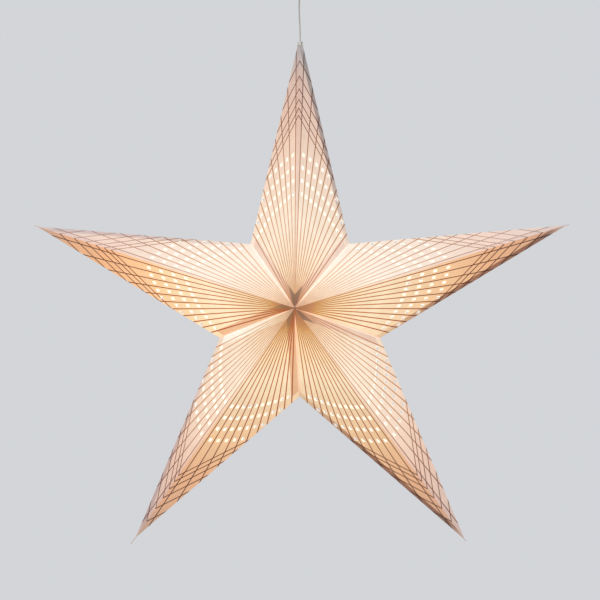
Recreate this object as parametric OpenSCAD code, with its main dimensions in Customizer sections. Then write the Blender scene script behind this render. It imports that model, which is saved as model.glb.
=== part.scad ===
// Paper star lantern: five folded, punched card points that hang from a thin low-voltage cord,
// a small screw-cap lamp inside them, and a ceiling cup that hides the transformer.
// Millimetres. The origin is the centre of the ceiling face, +Z is up and the front looks along -Y.
// Each point of the star is first laid out along +Z in the star's own frame, its front towards -Y.

/* [Star] */
// Distance from the star's centre to the corner at the end of each point
point_reach = 315; // [280:5:350]
// Distance from the star's centre to each notch between two points
notch_reach = 95; // [88:1:102]
// Half of the star's depth, from its middle plane to the front or the back centre
half_depth = 107; // [98:1:116]
// Thickness of the card
card_t = 0.4; // [0.3:0.05:0.5]
// Width of the glued lap inside one outer edge of each point
lap_w = 7.5; // [5:0.5:9]
// Width of the flaps that join neighbouring points along the valleys
flap_w = 10.5; // [8:0.5:12]
// Thickness of the adhesive tape that closes the last valley
tape_t = 0.2; // [0.15:0.05:0.3]
// Diameter of the pinhole where the corners of the card meet at the front and back centres
pinhole_d = 0.8; // [0.8:0.1:2]
// Length cut off the top point, so that the cord can pass
tip_cut = 12.5; // [11:0.5:14]

/* [Punched pattern] */
// Angle from the ridge to the first printed ray, seen from the front centre
first_ray = 1.4; // [1:0.1:1.6]
// Angle from one printed ray to the next
ray_pitch = 3.6; // [3.4:0.1:3.6]
// Number of printed rays on each facet; the holes lie midway between them
ray_count = 11; // [9:1:11]
// Distance from the front centre to the outermost row of holes, as a share of the point's reach
row_share = 0.59; // [0.54:0.01:0.62]
// Distance from one row of holes to the next
row_pitch = 16.1; // [14:0.1:20]
// Number of rows of holes
row_count = 4; // [2:1:5]
// How much nearer the centre each hole of a row lies than the one before it
row_fall = 0.1; // [0:0.1:1]
// Length of a punched hole, along its ray
hole_len = 4.5; // [3:0.1:6]
// Width of a punched hole
hole_w = 4.1; // [2.5:0.1:4.6]

/* [Cord and its fittings] */
// Diameter of the cord
cord_d = 1.6; // [1.4:0.1:2]
// Length of cord between the grip's mouth and the collar on the top point
cord_free = 70; // [60:1:300]
// Height of the collar above the cut tip
collar_h = 4.4; // [3:0.1:5]
// Length of the conical stop that carries the star
stop_len = 24; // [20:1:30]
// Distance from the corner of the top point to the top of the stop
stop_drop = 24; // [22:1:30]

/* [Lamp] */
// Diameter of the lamp's globe
globe_d = 45; // [40:1:50]
// Diameter of the lamp's screw cap
lamp_cap_d = 13.8; // [13.6:0.1:14]
// Length of the lamp's screw cap
lamp_cap_len = 16; // [14:1:18]
// Outer diameter of the lampholder
holder_d = 27; // [25:1:30]
// Wall of the lampholder and of the lamp's plastic parts
holder_wall = 1.5; // [1.2:0.1:2]

/* [Ceiling cup] */
// Outer diameter of the cup
cup_d = 112; // [108:1:130]
// Height of the cup
cup_h = 32; // [31:1:45]
// Wall of the cup
cup_wall = 1.2; // [1:0.1:1.8]
// Thickness of the bracket's steel
bracket_t = 1.5; // [1.2:0.1:2]
// Width of the bracket
bracket_w = 40; // [36:1:44]
// Distance between the middles of the two screw slots
slot_pitch = 84; // [80:1:86]
// Width of a screw slot
slot_w = 4.6; // [4:0.1:5.5]
// Length of a screw slot from end to end
slot_len = 9; // [8:0.5:10]

/* [Hidden] */

$fn = 48;
// Running gap between pieces that move past each other
gap = 0.3;
// Gap between pieces of one body that slide together once
snug = 0.1;
// Longer than the whole star, for cuts that run right through
big = 2 * point_reach;
// Overlap that makes a cut run clear past a face
over = 1;

// Angle between two neighbouring points of the star, and half of it
point_turn = 72;
half_turn = point_turn / 2;

// Facet of a point, drawn flat: the front centre at the origin, the ridge along +Y, the valley to +X
ridge_len = norm([point_reach, half_depth]);
ridge_tilt = atan2(half_depth, point_reach);
notch_side = notch_reach * sin(half_turn);
notch_up = notch_reach * cos(half_turn);
notch_back = half_depth * cos(ridge_tilt) - notch_up * sin(ridge_tilt);
facet_roll = atan2(notch_back, notch_side);
facet_notch = [norm([notch_side, notch_back]), half_depth * sin(ridge_tilt) + notch_up * cos(ridge_tilt)];
facet_tip = [0, ridge_len];
valley_len = norm(facet_notch);
edge_len = norm(facet_tip - facet_notch);
valley_way = facet_notch / valley_len;
valley_in = [-valley_way.y, valley_way.x];
edge_way = (facet_notch - facet_tip) / edge_len;
edge_in = [edge_way.y, -edge_way.x];
// Distance from the front centre to the outermost row of holes, and card left between a hole and the edge
row_reach = row_share * point_reach;
hole_margin = 0.6;
// Along a line parallel to the valley, how far the outer edge runs on for each unit of distance from it
edge_slant = (valley_in * edge_in) / -(valley_way * edge_in);

// Flap: bare ends at the centre and the notch, and the length over which its inner end tapers
flap_start = 4;
flap_taper = 28;
flap_end = lap_w + 1;
// Lap: where it starts below the tip and stops before the notch
lap_start = 22;
lap_stop = flap_w + 4;
// Card pressed together that runs out past the corner of each point, clockwise from the top, as the hand
// left it, with its width in depth and how far it reaches back into the point
tails = [0, 3, 2, 9, 3];
tail_w = 1.2;
tail_root = 4;
// Tape on the closing flap, narrower than the flap
tape_w = flap_w - 4;
tape_start = flap_taper + 4;
tape_end = flap_end + 6;
// Half-widths of a point, across and in depth, for each millimetre below its corner, and the radius of
// the round that fits between the four facets there
side_slope = notch_side / (point_reach - notch_up);
depth_slope = half_depth / point_reach;
cone_slope = side_slope * depth_slope / norm([side_slope, depth_slope]);

// Levels of the ceiling fitting
pivot_z = -cup_h - 12;
grip_mouth_z = pivot_z - 2.4;
collar_top_z = grip_mouth_z - cord_free;
tip_z = collar_top_z - collar_h;
star_z = tip_z + tip_cut - point_reach;

// Stop: its cone stays clear of the lap inside one of the point's outer edges, and its screw is near its foot
stop_inset = 2 * card_t + gap;
stop_foot_r = (stop_drop + stop_len) * cone_slope - stop_inset;
stop_screw_z = star_z + point_reach - stop_drop - stop_len + 5;

// Grip: nipple through the cup, flange, nose, and the ball that sits in its mouth
nipple_r = 5;
flange_r = 8;
flange_h = 3;
nipple_h = 6.5;
nut_h = 3.5;
nut_af = 13;
ball_r = 3.6;
bore_r = cord_d / 2 + 0.15;

// Driver, terminal block and their leads, under the bracket
driver_size = [50, 30, 18];
driver_x = -16;
driver_lead_z = -bracket_t - 7;
terminal_size = [16, 13, 12];
terminal_at = [driver_x - 4 - terminal_size.x, 2];
terminal_pitch = 6.5;
terminal_ways = [for (k = [-0.5, 0.5]) terminal_size.y / 2 + k * terminal_pitch];
wiring_hole_r = 5;
wiring_hole_at = [-27, -9];
tab_w = 16;
tab_h = 14;
side_screw_z = -8;
side_screw_r = 1.95;

// Lamp levels, counted up from the star's centre
globe_top = 8;
neck_z = 33;
neck_r = 9;
cap_top = neck_z + lamp_cap_len;
contact_top = cap_top + 4.5;
insert_z = contact_top + 3;
insert_h = 4;
holder_rim = neck_z - 2;
holder_top = insert_z + insert_h + 2;
holder_cap_h = 18;
holder_cap_top = holder_top + holder_cap_h;
nipple_top = holder_cap_top + 8;
screw_shell_r = lamp_cap_d / 2 + gap;
screw_shell_t = 0.4;

// Route of the free cord in the XZ plane: a slight bow above the star, then plumb to the lampholder
cord_route = [for (p = [[0, 0], [0, 4], [-0.2, 9], [-0.6, 15], [-1, 21], [-1.2, 27], [-1.3, 33],
                        [-1.1, 40], [-0.8, 47], [-0.4, 54], [-0.1, 61], [0, 68], [0, 230]])
              [p.x, pivot_z - gap - p.y]];
cord_foot = [0, star_z + insert_z + insert_h];
// Route of the cord's tail from the grip's mouth, up through the nipple and round into the driver's end
tail_turn_r = 5.9;
tail_run_z = -bracket_t - driver_size.z - 2.2;
tail_bend = 2.4;
tail_end_x = driver_x + driver_size.x;
tail_route = concat(
    [[0, pivot_z + gap], [0, pivot_z + 6]],
    [for (a = [0:22.5:90]) [tail_bend - tail_bend * cos(a), tail_run_z - tail_bend + tail_bend * sin(a)]],
    [[14, tail_run_z], [26, tail_run_z]],
    [for (a = [-90:22.5:90])
        [tail_end_x + 3 + tail_turn_r * cos(a), tail_run_z + tail_turn_r * (1 + sin(a))]],
    [[tail_end_x, tail_run_z + 2 * tail_turn_r]]);

// Point on the flat facet, a distance s along the valley from the centre and w in from it
function by_valley(s, w) = valley_way * s + valley_in * w;
// Point on the flat facet, a distance s along the outer edge from the tip and w in from it
function by_edge(s, w) = facet_tip + edge_way * s + edge_in * w;
// Distance along a line w in from the valley to a line m in from the outer edge
function valley_stop(w, m) = valley_len - m / abs(valley_way * edge_in) + w * edge_slant;
// Centre of hole i in row j, and how far it lies inside the outer edge
function hole_turn(i) = first_ray + (i + 0.5) * ray_pitch;
function hole_at(j, i) = (row_reach - j * row_pitch - i * row_fall) * [sin(hole_turn(i)), cos(hole_turn(i))];
function inside_edge(p) = (p - facet_tip) * edge_in;
// Whether all of hole i in row j lies a margin inside the outer edge
function hole_fits(j, i) =
    let (along = [sin(hole_turn(i)), cos(hole_turn(i))], across = [along.y, -along.x])
    inside_edge(hole_at(j, i)) - (hole_w * abs(across * edge_in) + hole_len * abs(along * edge_in)) / 2
        > hole_margin;
// Route with points added, so that none lies further than three diameters from the next
function fill(route, d) = concat([for (i = [0:len(route) - 2])
    let (n = ceil(norm(route[i + 1] - route[i]) / (3 * d)))
    each [for (k = [0:n - 1]) route[i] + (route[i + 1] - route[i]) * k / n]], [route[len(route) - 1]]);
// Unit vector square to the route at point i, in the route's plane
function route_side(route, i) =
    let (d = route[min(i + 1, len(route) - 1)] - route[max(i - 1, 0)]) [d.y, -d.x] / norm(d);

// Round tube along a route in the XZ plane
module tube(through, d, sides = 8) {
    route = fill(through, d);
    n = len(route);
    rings = [for (i = [0:n - 1], k = [0:sides - 1])
        let (side = route_side(route, i) * cos(360 * k / sides) * d / 2)
        [route[i].x + side.x, sin(360 * k / sides) * d / 2, route[i].y + side.y]];
    walls = [for (i = [0:n - 2], k = [0:sides - 1])
        let (a = i * sides + k, b = i * sides + (k + 1) % sides)
        [a, b, b + sides, a + sides]];
    split = [for (w = walls) each [[w[0], w[1], w[2]], [w[0], w[2], w[3]]]];
    last = (n - 1) * sides;
    ends = [for (k = [1:sides - 2]) each [[0, k + 1, k], [last, last + k, last + k + 1]]];
    polyhedron(rings, concat(split, ends), convexity = 4);
}

// Washer or bush standing on z, from r1 to r2
module ring(r1, r2, h) {
    difference() {
        cylinder(r = r2, h = h);
        translate([0, 0, -over]) cylinder(r = r1, h = h + 2 * over);
    }
}

// Puts a flat facet drawing on one side of a point: side 1 is clockwise of the ridge, face 1 the front
module on_facet(side, face) {
    mirror([side < 0 ? 1 : 0, 0, 0]) mirror([0, face < 0 ? 1 : 0, 0])
        translate([0, -half_depth, 0]) rotate([-ridge_tilt, 0, 0]) rotate([0, 0, facet_roll])
            rotate([90, 0, 0]) children();
}

// Everything behind a plane that lies inset below a facet's outer face
module behind_facet(inset) {
    translate([-big, -big, -big - inset]) cube([2 * big, 2 * big, big]);
}

// Four-sided spike of a point, its faces moved in by inset
module spike(inset) {
    intersection() {
        on_facet(1, 1) behind_facet(inset);
        on_facet(-1, 1) behind_facet(inset);
        on_facet(1, -1) behind_facet(inset);
        on_facet(-1, -1) behind_facet(inset);
    }
}

// Sector of the star that holds one point, widened by reach on each side
module sector(reach) {
    intersection() {
        translate([-big, -big, 0]) cube(2 * big);
        rotate([0, half_turn, 0]) translate([-big, -big, -big]) cube([big + reach, 2 * big, 2 * big]);
        rotate([0, -half_turn, 0]) translate([-reach, -big, -big]) cube([big + reach, 2 * big, 2 * big]);
    }
}

// Flat outline of a joining flap or of the tape on it: start, taper, width and margin to the outer edge
module strip_outline(start, taper, w, margin, in = 0) {
    polygon([by_valley(start, in), by_valley(valley_stop(in, margin), in),
             by_valley(valley_stop(w, margin), w), by_valley(start + taper, w)]);
}

// Layer of card or tape under a facet, from inset down to inset plus thickness
module layer(inset, thickness) {
    translate([0, 0, -inset - thickness]) linear_extrude(thickness) children();
}

// Nearly square holes between the rays, as many in each row as fit inside the outer edge
module punched_rows() {
    for (j = [0:row_count - 1], i = [0:ray_count - 2])
        if (hole_fits(j, i))
            translate(hole_at(j, i)) rotate(-hole_turn(i)) square([hole_w, hole_len], center = true);
}

// Folded sheet of one point along +Z. A flap of 0 means none, and otherwise it is the flap's inset
// under the neighbour: clockwise flap_cw, anticlockwise flap_ccw. The lap is glued behind the front wall, and
// the punched holes near the outer edge go through both
module folded_point(flap_cw, flap_ccw, cut = 0, tail = 0) {
    difference() {
        union() {
            difference() {
                intersection() {
                    difference() {
                        spike(0);
                        spike(card_t);
                    }
                    sector(3 * card_t);
                }
                rotate([0, point_turn, 0]) spike(flap_cw > 0 ? flap_cw + card_t : 0);
                rotate([0, -point_turn, 0]) spike(flap_ccw > 0 ? flap_ccw + card_t : 0);
                for (side = [1, -1], face = [1, -1])
                    on_facet(side, face) translate([0, 0, -4 * card_t]) linear_extrude(5 * card_t)
                        punched_rows();
            }
            on_facet(1, 1) layer(card_t, card_t) difference() {
                polygon([by_edge(lap_start, 0), by_edge(edge_len - lap_stop, 0),
                         by_edge(edge_len - lap_stop - lap_w, lap_w), by_edge(lap_start + lap_w, lap_w)]);
                punched_rows();
            }
            for (face = [1, -1]) {
                if (flap_cw > 0)
                    rotate([0, point_turn, 0]) on_facet(-1, face) layer(flap_cw, card_t)
                        strip_outline(flap_start, flap_taper, flap_w, flap_end);
                if (flap_ccw > 0)
                    rotate([0, -point_turn, 0]) on_facet(1, face) layer(flap_ccw, card_t)
                        strip_outline(flap_start, flap_taper, flap_w, flap_end);
            }
            if (tail > 0)
                translate([-card_t, -tail_w / 2, point_reach - tail_root])
                    cube([2 * card_t, tail_w, tail_root + tail]);
        }
        rotate([90, 0, 0]) cylinder(d = pinhole_d, h = big, center = true);
        if (cut > 0)
            translate([-big / 2, -big / 2, point_reach - cut]) cube([big, big, big]);
    }
}

// Places a point of the star: 0 is the top one, and the others follow clockwise
module in_star(place) {
    translate([0, 0, star_z]) rotate([0, place * point_turn, 0]) children();
}

module point_top() { color("#F3DCC9") in_star(0) folded_point(0, 0, tip_cut); }
module point_right() { color("#F5E1D2") in_star(1) folded_point(card_t, card_t + tape_t, 0, tails[1]); }
module point_lower_right() { color("#EBC393") in_star(2) folded_point(card_t, 0, 0, tails[2]); }
module point_lower_left() { color("#EBC393") in_star(3) folded_point(card_t, 0, 0, tails[3]); }
module point_left() { color("#F5E1D2") in_star(4) folded_point(card_t, 0, 0, tails[4]); }

// Double-sided tape between the closing flap and the top point, front and back
module seam_tapes() {
    color("#EADFC8") in_star(0) for (face = [1, -1])
        on_facet(1, face) layer(card_t, tape_t) strip_outline(tape_start, 0, tape_w + 2, tape_end, 2);
}

// Split collar that sits on the cut tip, with flats in line with the point's outer edges and a sloped rim
module tip_collar() {
    collar_slope = 1.2;
    rim_x = tip_cut * side_slope + snug;
    rim_y = tip_cut * depth_slope + snug;
    spigot_r = tip_cut * cone_slope - card_t - snug;
    bore = cord_d / 2 + gap;
    color("#D8D6CE") translate([0, 0, tip_z]) difference() {
        union() {
            intersection() {
                union() {
                    cylinder(r = rim_y, h = collar_h - collar_slope);
                    translate([0, 0, collar_h - collar_slope])
                        cylinder(r1 = rim_y, r2 = rim_y - collar_slope, h = collar_slope);
                }
                translate([-rim_x, -rim_y, 0]) cube([2 * rim_x, 2 * rim_y, collar_h]);
            }
            translate([0, 0, -6]) cylinder(r = spigot_r, h = 6 + over);
        }
        translate([0, 0, -6 - over]) cylinder(r = bore, h = collar_h + 6 + 2 * over);
        rotate([0, 0, 25]) translate([-cord_d / 2 - 0.1, -2 * rim_y, -6 - over])
            cube([cord_d + 0.2, 2 * rim_y, collar_h + 6 + 2 * over]);
    }
}

// Cone that the inside of the top point sits on
module cord_stop() {
    top_r = stop_drop * cone_slope - stop_inset;
    color("#E4E2DA") translate([0, 0, star_z + point_reach - stop_drop - stop_len]) difference() {
        cylinder(r1 = stop_foot_r, r2 = top_r, h = stop_len);
        translate([0, 0, -over]) cylinder(r = cord_d / 2 + gap, h = stop_len + 2 * over);
        translate([0, 0, 5]) rotate([90, 0, 0]) cylinder(r = 1.5, h = 2 * stop_foot_r);
    }
}

module stop_screw() {
    color("#B9BBBD") translate([0, 0, stop_screw_z]) rotate([90, 0, 0])
        difference() {
            translate([0, 0, cord_d / 2 + gap]) cylinder(r = 1.45, h = stop_foot_r - cord_d / 2 - gap - 1.5);
            translate([-0.3, -2, stop_foot_r - 2.4]) cube([0.6, 4, 2]);
        }
}

module cord() {
    color("#B5ADA6") tube(concat([for (p = cord_route) if (p.y > cord_foot.y + 5) p], [cord_foot]), cord_d);
}

module cord_tail() { color("#B5ADA6") tube(tail_route, cord_d); }

// Ball that lets the cord swing in the grip's mouth, with a waisted bore
module grip_ball() {
    flare = ball_r * tan(22);
    color("#3A3A3C") translate([0, 0, pivot_z]) difference() {
        rotate_extrude() intersection() {
            circle(r = ball_r);
            translate([0, -ball_r + 0.8]) square([ball_r, 2 * ball_r - 1.6]);
        }
        cylinder(r1 = bore_r, r2 = bore_r + flare, h = ball_r);
        mirror([0, 0, 1]) cylinder(r1 = bore_r, r2 = bore_r + flare, h = ball_r);
    }
}

// Cord grip: a nipple through the cup, a flange under it, and a nose with a socket for the ball
module cord_grip() {
    nose_r = ball_r + 1.8;
    color("#DEDCD6") difference() {
        rotate_extrude() difference() {
            polygon([[0, grip_mouth_z], [nose_r - 0.8, grip_mouth_z], [nose_r, grip_mouth_z + 1],
                     [nose_r + 0.8, -cup_h - flange_h], [flange_r - 0.6, -cup_h - flange_h],
                     [flange_r, -cup_h - flange_h + 0.6], [flange_r, -cup_h], [nipple_r, -cup_h],
                     [nipple_r, -cup_h + nipple_h], [0, -cup_h + nipple_h]]);
            translate([0, pivot_z]) circle(r = ball_r + gap);
            translate([0, pivot_z]) square([bore_r, cup_h]);
            translate([0, grip_mouth_z - over]) square([ball_r - 0.5, over + 1.2]);
        }
        translate([0, 0, -cup_h - flange_h - 2.2]) rotate([-90, 0, 0]) cylinder(r = 1.5, h = 2 * flange_r);
    }
}

module grip_screw() {
    color("#B9BBBD") translate([0, 0, -cup_h - flange_h - 2.2]) rotate([-90, 0, 0]) difference() {
        translate([0, 0, cord_d / 2]) cylinder(r = 1.45, h = ball_r + 0.9);
        translate([-0.3, -2, cord_d / 2 + ball_r]) cube([0.6, 4, 2]);
    }
}

module grip_nut() {
    color("#B9BBBD") translate([0, 0, -cup_h + cup_wall]) difference() {
        cylinder(d = nut_af / cos(30), h = nut_h, $fn = 6);
        translate([0, 0, -over]) cylinder(r = nipple_r + snug / 2, h = nut_h + 2 * over);
    }
}

// Steel bracket: a plate with two slots, an opening for the house wiring, and two bent tabs
module ceiling_bracket() {
    plate_r = cup_d / 2 - cup_wall - 1.2;
    tab_x = sqrt(pow(plate_r, 2) - pow(tab_w / 2, 2)) - 0.1;
    color("#B4B7BA") difference() {
        union() {
            translate([0, 0, -bracket_t]) linear_extrude(bracket_t) intersection() {
                circle(r = plate_r);
                square([2 * plate_r, bracket_w], center = true);
            }
            for (x = [-1, 1])
                translate([x * (tab_x - bracket_t / 2) - bracket_t / 2, -tab_w / 2, -tab_h])
                    cube([bracket_t, tab_w, tab_h]);
        }
        for (x = [-1, 1]) {
            translate([x * slot_pitch / 2, 0, -bracket_t - over]) linear_extrude(bracket_t + 2 * over)
                for (e = [-1, 1]) {
                    translate([e * (slot_len - slot_w) / 2, 0]) circle(d = slot_w);
                    square([slot_len - slot_w, slot_w], center = true);
                }
            translate([0, 0, side_screw_z]) rotate([0, 90, 0])
                cylinder(r = side_screw_r + snug / 2, h = cup_d, center = true);
        }
        translate(concat(wiring_hole_at, -bracket_t - over))
            cylinder(r = wiring_hole_r, h = bracket_t + 2 * over);
    }
}

// Cup that covers the bracket, turned from sheet with a rounded lower edge
module ceiling_cup() {
    outer = cup_d / 2;
    round = 7;
    color("#F2F1EC") difference() {
        rotate_extrude($fn = 96) difference() {
            union() {
                translate([0, -cup_h + round]) square([outer, cup_h - round]);
                translate([0, -cup_h]) square([outer - round, round]);
                translate([outer - round, -cup_h + round]) circle(r = round);
            }
            translate([0, -cup_h + round]) square([outer - cup_wall, cup_h]);
            translate([0, -cup_h + cup_wall]) square([outer - round, round]);
            translate([outer - round, -cup_h + round]) circle(r = round - cup_wall);
            translate([0, -cup_h - over]) square([nipple_r + 0.2, cup_h]);
        }
        translate([0, 0, side_screw_z]) rotate([0, 90, 0])
            cylinder(r = side_screw_r + 0.25, h = cup_d + 2 * over, center = true);
    }
}

// Two pan-head screws that hold the cup to the bracket's tabs
module cup_screws() {
    color("#C9CBCD") for (a = [0, 180])
        rotate([0, 0, a]) translate([cup_d / 2, 0, side_screw_z]) rotate([0, 90, 0]) difference() {
            union() {
                cylinder(r1 = 3.6, r2 = 3, h = 2.2);
                translate([0, 0, -6]) cylinder(r = side_screw_r, h = 6);
            }
            for (turn = [0, 90]) rotate([0, 0, turn]) translate([-2, -0.35, 1]) cube([4, 0.7, 2]);
        }
}

// Driver: a sealed plastic case with rounded upright edges
module driver_case() {
    round = 2;
    color("#ECEBE6") translate([driver_x, -driver_size.y / 2, -bracket_t - driver_size.z]) difference() {
        linear_extrude(driver_size.z) union() {
            translate([round, 0]) square([driver_size.x - 2 * round, driver_size.y]);
            translate([0, round]) square([driver_size.x, driver_size.y - 2 * round]);
            for (x = [round, driver_size.x - round], y = [round, driver_size.y - round])
                translate([x, y]) circle(r = round);
        }
        for (y = [-over, driver_size.y - 1])
            translate([6, y, 7]) cube([driver_size.x - 12, 1 + over, 1]);
    }
}

module driver_leads() {
    color("#4A5A78") for (y = terminal_ways)
        translate([terminal_at.x + terminal_size.x, terminal_at.y + y, driver_lead_z]) rotate([0, 90, 0])
            cylinder(d = 2, h = driver_x - terminal_at.x - terminal_size.x);
}

// Two-pole terminal block with a screw well over each end of each way
module terminal_block() {
    color("#E8E6DE") translate([terminal_at.x, terminal_at.y, -bracket_t - terminal_size.z]) difference() {
        union() {
            translate([0, 0, 4]) cube([terminal_size.x, terminal_size.y, terminal_size.z - 4]);
            for (y = terminal_ways)
                translate([1.5, y - 2.6, 0]) cube([terminal_size.x - 3, 5.2, 5]);
        }
        for (y = terminal_ways, x = [4.5, terminal_size.x - 4.5])
            translate([x, y, -over]) cylinder(r = 1.8, h = 5 + over);
    }
}

module terminal_screws() {
    color("#C8B070") for (y = terminal_ways, x = [4.5, terminal_size.x - 4.5])
        translate([terminal_at.x + x, terminal_at.y + y, -bracket_t - terminal_size.z + 2]) difference() {
            cylinder(r = 1.5, h = 3);
            translate([-2, -0.25, -over]) cube([4, 0.5, over + 0.7]);
        }
}

// Shade-like cover of the lampholder, with a nipple for the cord
module holder_cap() {
    outer = holder_d / 2;
    color("#F0EFEA") translate([0, 0, star_z]) difference() {
        rotate_extrude() difference() {
            polygon([[0, holder_top], [outer, holder_top], [outer, holder_top + 8],
                     [outer - 1.5, holder_top + 12], [outer - 5, holder_cap_top - 2],
                     [nipple_r, holder_cap_top], [nipple_r, nipple_top - 0.6],
                     [nipple_r - 0.6, nipple_top], [0, nipple_top]]);
            polygon([[0, holder_top - over], [outer - holder_wall, holder_top - over],
                     [outer - holder_wall, holder_top + 8], [outer - holder_wall - 1.5, holder_top + 11],
                     [outer - 6, holder_cap_top - 4], [0, holder_cap_top - 4]]);
            translate([0, holder_top]) square([bore_r, big]);
        }
        translate([0, 0, holder_cap_top + 4]) rotate([90, 0, 0]) cylinder(r = 1.5, h = 2 * nipple_r);
    }
}

module holder_screw() {
    color("#B9BBBD") translate([0, 0, star_z + holder_cap_top + 4]) rotate([90, 0, 0]) difference() {
        translate([0, 0, cord_d / 2]) cylinder(r = 1.45, h = nipple_r - cord_d / 2 - 0.4);
        translate([-0.3, -2, nipple_r - 1.4]) cube([0.6, 4, 2]);
    }
}

module holder_body() {
    outer = holder_d / 2;
    color("#F0EFEA") translate([0, 0, star_z]) rotate_extrude() difference() {
        polygon([[0, holder_rim], [outer - 0.8, holder_rim], [outer, holder_rim + 0.8], [outer, holder_top],
                 [0, holder_top]]);
        translate([0, holder_rim - over]) square([neck_r + 1.2, over + 4]);
        translate([0, holder_rim - over]) square([screw_shell_r + screw_shell_t + snug, big]);
        translate([0, insert_z]) square([outer - holder_wall, big]);
    }
}

// Insulating block that carries the two contacts and meets the cord
module holder_insert() {
    color("#D9D2C2") translate([0, 0, star_z + insert_z])
        cylinder(r = holder_d / 2 - holder_wall - snug, h = insert_h);
}

// Threaded sleeve, drawn plain, that hangs from the insulating block
module screw_shell() {
    color("#C9A95A") translate([0, 0, star_z + neck_z + 1])
        ring(screw_shell_r, screw_shell_r + screw_shell_t, insert_z - neck_z - 1);
}

module centre_spring() {
    color("#C9A95A") translate([0, 0, star_z + contact_top + gap]) {
        cylinder(r = 2.2, h = 0.6);
        cylinder(r = 1, h = insert_z - contact_top - gap);
    }
}

module bulb_contact() {
    color("#C0C2C4") translate([0, 0, star_z + contact_top - 1.5]) cylinder(r1 = 2.8, r2 = 2.2, h = 1.5);
}

// Screw cap of the lamp, drawn plain, with its insulating end
module bulb_cap() {
    r = lamp_cap_d / 2;
    color("#D5D6D8") translate([0, 0, star_z]) rotate_extrude() polygon(
        [[0, neck_z], [r, neck_z], [r, cap_top - 1], [r - 1, cap_top], [3.4, contact_top - 1.8],
         [0, contact_top - 1.8]]);
}

// Plastic neck of the lamp, a cone with a rounded shoulder
module bulb_housing() {
    shoulder = globe_d / 2 - 1.2;
    color("#F4F3EF") translate([0, 0, star_z]) rotate_extrude() difference() {
        polygon([[0, globe_top], [shoulder, globe_top], [shoulder + 0.6, globe_top + 2],
                 [shoulder - 1, globe_top + 6], [neck_r + 5, neck_z - 9], [neck_r + 1, neck_z - 3],
                 [neck_r, neck_z], [0, neck_z]]);
        polygon([[0, globe_top - over], [shoulder - holder_wall - 1, globe_top - over],
                 [shoulder - holder_wall - 1, globe_top + 3], [neck_r + 2, neck_z - 8], [0, neck_z - 8]]);
    }
}

module led_board() {
    color("#F6F6F2") translate([0, 0, star_z + globe_top]) {
        cylinder(r = globe_d / 2 - 1.2 - holder_wall - 1 - snug, h = 1.6);
        for (a = [0:60:300]) rotate([0, 0, a]) translate([11, -1.4, -0.8]) cube([2.8, 2.8, 0.9]);
    }
}

// Opal globe of the lamp
module bulb_globe() {
    wall = 1.2;
    color("#FFF8E8") translate([0, 0, star_z]) rotate_extrude() intersection() {
        difference() {
            circle(d = globe_d, $fn = 96);
            circle(d = globe_d - 2 * wall, $fn = 96);
        }
        translate([0, -globe_d]) square([globe_d, globe_d + globe_top - snug / 2]);
    }
}

ceiling_bracket();
ceiling_cup();
cup_screws();
driver_case();
driver_leads();
terminal_block();
terminal_screws();
cord_grip();
grip_nut();
grip_screw();
cord_tail();
grip_ball();
cord();
holder_cap();
holder_screw();
holder_body();
holder_insert();
screw_shell();
centre_spring();
bulb_contact();
bulb_cap();
bulb_housing();
led_board();
bulb_globe();
cord_stop();
stop_screw();
tip_collar();
seam_tapes();
point_top();
point_right();
point_lower_right();
point_lower_left();
point_left();
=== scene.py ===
"""Looks of the paper star lantern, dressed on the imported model, which is the fixed frame.

Every size is in metres unless a name ends in _mm. The origin is the centre of the ceiling face, +Z is up
and the front looks along -Y. The star hangs from its cord with its centre on the Z axis.
"""

import logging
import math
from dataclasses import dataclass
from enum import Enum

import bpy
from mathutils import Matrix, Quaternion, Vector

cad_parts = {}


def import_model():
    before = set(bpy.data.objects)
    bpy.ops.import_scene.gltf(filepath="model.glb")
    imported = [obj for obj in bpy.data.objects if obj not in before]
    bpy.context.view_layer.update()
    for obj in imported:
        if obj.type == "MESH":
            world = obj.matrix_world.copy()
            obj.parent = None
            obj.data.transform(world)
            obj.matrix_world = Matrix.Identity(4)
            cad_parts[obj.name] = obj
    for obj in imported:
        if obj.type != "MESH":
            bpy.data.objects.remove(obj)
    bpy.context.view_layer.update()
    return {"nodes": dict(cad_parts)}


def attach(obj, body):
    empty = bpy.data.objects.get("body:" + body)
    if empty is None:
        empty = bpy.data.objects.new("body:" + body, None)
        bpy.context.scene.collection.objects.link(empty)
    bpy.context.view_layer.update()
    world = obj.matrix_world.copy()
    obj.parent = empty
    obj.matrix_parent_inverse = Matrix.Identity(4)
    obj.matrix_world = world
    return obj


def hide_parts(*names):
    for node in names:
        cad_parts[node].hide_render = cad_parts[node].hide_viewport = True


log = logging.getLogger("lantern")

MM = 0.001
PLAIN = (1, 1, 1, 1)
Socket = bpy.types.NodeSocket


def linear(hex_colour: str, alpha: float = 1.0) -> tuple[float, float, float, float]:
    """Turn an sRGB hex colour into the linear values that a shader takes.

    Args:
        hex_colour: colour as "#RRGGBB".
        alpha: fourth value of the result.

    Returns:
        Linear red, green and blue, and alpha.
    """
    parts = [int(hex_colour[i:i + 2], 16) / 255 for i in (1, 3, 5)]
    return (*[p / 12.92 if p <= 0.04045 else ((p + 0.055) / 1.055) ** 2.4 for p in parts], alpha)


def add_node(tree: bpy.types.NodeTree, kind: str, inputs: dict, **settings: object) -> bpy.types.Node:
    """Add one node with its settings, and link or set its inputs.

    Args:
        tree: node tree of the material or the world.
        kind: Blender's name for the node's type.
        inputs: value or socket for each input, by name or number.
        **settings: attributes of the node itself, such as operation.

    Returns:
        The new node.
    """
    node = tree.nodes.new(kind)
    for name, value in settings.items():
        setattr(node, name, value)
    for name, value in inputs.items():
        if isinstance(value, Socket):
            tree.links.new(value, node.inputs[name])
        else:
            node.inputs[name].default_value = value
    return node


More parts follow.
